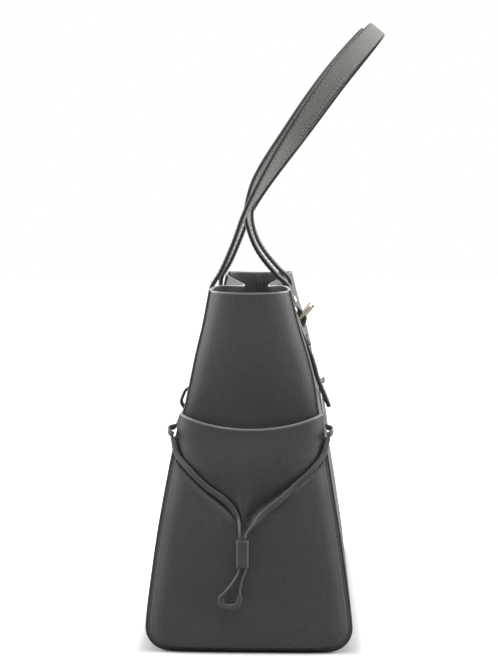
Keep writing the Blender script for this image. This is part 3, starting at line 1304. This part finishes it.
def pocket_point(side, y, z, off):
    """A single point off the end pocket's outer surface."""
    y, z = np.array([y]), np.array([z])
    return (pocket_at(side, y, z) + off * pocket_out(side, y, z))[0]


for side in (LEFT, RIGHT):
    low = LACE_V_LOW - SLIDER_LENGTH
    body = f"{SIDE_NAMES[side]}_slider"
    path = [(0.0, LACE_V_MIDDLE + STRAND_SPACING / 2, LACE_V_LOW)]
    path += [(0.0, LACE_V_MIDDLE + LOOP_WIDTH * over, low - LOOP_DROP * down)
             for over, down in LOOP_SHARES]
    path += [(0.0, LACE_V_MIDDLE - STRAND_SPACING / 2, LACE_V_LOW)]
    points = route(path, 220)
    heights = (low - LOOP_DROP, low, LACE_V_LOW)
    reach = [pocket_point(side, LACE_V_MIDDLE, z, strand_off)[0] for z in heights]
    points[:, 0] = np.interp(points[:, 2], heights, reach)
    ways = unit(np.gradient(points, axis=0))
    turn_share = ((low - points[:, 2]) / LOOP_DROP - LOOP_TURN_START) / LOOP_TURN_SPAN
    turned_by = LOOP_TURN * ease(turn_share)[:, None]
    in_plane = np.cross(ways, ALONG_X)
    loop_across = np.cos(turned_by) * ALONG_X - side * np.sin(turned_by) * in_plane
    points[:, 0] += side * LOOP_TURN_LIFT * np.sin(turned_by[:, 0])
    loop = lace(f"lace_loop_{SIDE_NAMES[side]}_strand", points, loop_across)
    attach(loop, body)
    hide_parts(f"lace_loop_{SIDE_NAMES[side]}")

    tube_middle = LACE_V_LOW - SLIDER_LENGTH / 2
    centre = pocket_point(side, LACE_V_MIDDLE, tube_middle, strand_off)
    half_x = LACE_WIDTH / 2 + RUNNING_GAP + SLIDER_WALL
    half_y = STRAND_SPACING / 2 + LACE_THICKNESS / 2 + 2 * RUNNING_GAP + SLIDER_WALL
    ring = rounded_ring(half_x, half_y, SLIDER_CORNER)
    share = np.linspace(-1, 1, 25)
    waist = 1 - SLIDER_WAIST * (1 - share**2)
    x, y = centre[0] + ring[:, 0] * waist[:, None], centre[1] + ring[:, 1] * waist[:, None]
    z = tube_middle + share[:, None] * SLIDER_LENGTH / 2 + 0 * ring[:, 0]
    faces = grid_quads(25, len(ring), closed=True)
    slider = add_piece(f"slider_{SIDE_NAMES[side]}_tube", np.stack([x, y, z], axis=2), faces,
                       [lace_leather, lace_edge])
    thicken(slider, SLIDER_WALL, 1)
    round_edges(slider, SLIDER_EDGE, 2)
    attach(slider, body)
    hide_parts(f"slider_{SIDE_NAMES[side]}")
    z = np.linspace(low + SLIDER_STITCH_INSET, LACE_V_LOW - SLIDER_STITCH_INSET, 60)
    face_x = centre[0] + side * half_x + 0 * z
    rows = [(np.stack([face_x, centre[1] + way * SLIDER_STITCH_Y + 0 * z, z], axis=1),
             np.tile((side, 0.0, 0.0), (60, 1))) for way in (-1, 1)]
    seam = stitches(f"slider_{SIDE_NAMES[side]}_stitches", rows)
    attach(seam, body)

# Floor and light
# A pale table inside a soft tent that is open behind the camera. Two large lamps stand square to
# the camera's line, so the ends are darker in the middle than toward their edges.
SIDE_POWER = 43
TOP_POWER = 26
SIDE_LAMP_PLACE = (0.12, 1.5, 0.62)
SIDE_LAMP_SIZE = (1.3, 1.0)
TOP_LAMP_PLACE = (-0.35, 0, 1.95)
TOP_LAMP_SIZE = (1.5, 1.5)
FILL_STRENGTH = 0.34
OPEN_SIDE = 0.155
FLOOR_COLOUR = (0.62, 0.62, 0.62)
FLOOR_BOUNCE = (0.20, 0.20, 0.20)
GLOW_REACH = 0.024

floor_material, tree, shader = new_material("Floor")
path = node(tree, "LightPath").outputs
away = node(tree, "TexCoord").outputs["Object"]
for operation, inputs in (("ABSOLUTE", {}), ("SUBTRACT", {1: (BODY_LENGTH / 2, BASE_DEPTH / 2, 1)}),
                          ("MAXIMUM", {1: (0, 0, 0)})):
    away = node(tree, "VectorMath", {0: away, **inputs}, operation=operation).outputs["Vector"]
away = node(tree, "VectorMath", {0: away}, operation="LENGTH").outputs["Value"]
glow = node(tree, "MapRange", {"Value": away, "From Max": GLOW_REACH},
            interpolation_type="SMOOTHSTEP")
paint = node(tree, "MixRGB", {"Fac": path["Is Camera Ray"], "Color1": (*FLOOR_BOUNCE, 1),
                              "Color2": (*FLOOR_COLOUR, 1)})
seen = maths(tree, "MULTIPLY", path["Is Camera Ray"], glow.outputs["Result"])
fill(shader, {"Base Color": paint.outputs["Color"], "Roughness": 0.9, "Specular IOR Level": 0.2,
              "Emission Color": (1, 1, 1, 1), "Emission Strength": seen})
bpy.ops.mesh.primitive_plane_add(size=12, location=(0, 0, -0.0005))
floor = bpy.context.object
floor.name = "floor"
floor.data.materials.append(floor_material)


def soft_lamp(name, place, target, size, power):
    """A large rectangular lamp that looks at a target."""
    data = bpy.data.lights.new(name, "AREA")
    data.shape = "RECTANGLE"
    data.size, data.size_y = size
    data.energy = power
    lamp = bpy.data.objects.new(name, data)
    bpy.context.scene.collection.objects.link(lamp)
    lamp.location = place
    lamp.rotation_euler = (Vector(target) - Vector(place)).to_track_quat("-Z", "Y").to_euler()


for face in (FRONT, BACK):
    place = (SIDE_LAMP_PLACE[0], face * SIDE_LAMP_PLACE[1], SIDE_LAMP_PLACE[2])
    soft_lamp(f"lamp_{FACE_NAMES[face]}_side", place, (0, 0, 0.26), SIDE_LAMP_SIZE, SIDE_POWER)
soft_lamp("lamp_top", TOP_LAMP_PLACE, (0, 0, 0.2), TOP_LAMP_SIZE, TOP_POWER)

world = bpy.data.worlds.new("World")
bpy.context.scene.world = world
world.use_nodes = True
tree = world.node_tree
axes = node(tree, "SeparateXYZ", {"Vector": node(tree, "TexCoord").outputs["Generated"]})
tent = node(tree, "MapRange", {"Value": axes.outputs["X"], "From Min": -0.95, "From Max": -0.25,
                               "To Min": OPEN_SIDE}, interpolation_type="SMOOTHSTEP")
path = node(tree, "LightPath").outputs
shiny = maths(tree, "MAXIMUM", path["Is Glossy Ray"], path["Is Transmission Ray"])
level = node(tree, "MapRange", {"Value": shiny, "To Min": FILL_STRENGTH, "To Max": 1.0})
lit = maths(tree, "MULTIPLY", tent.outputs["Result"], level.outputs["Result"])
fill(tree.nodes["Background"], {"Color": (1, 1, 1, 1),
                                "Strength": maths(tree, "MAXIMUM", lit, path["Is Camera Ray"])})
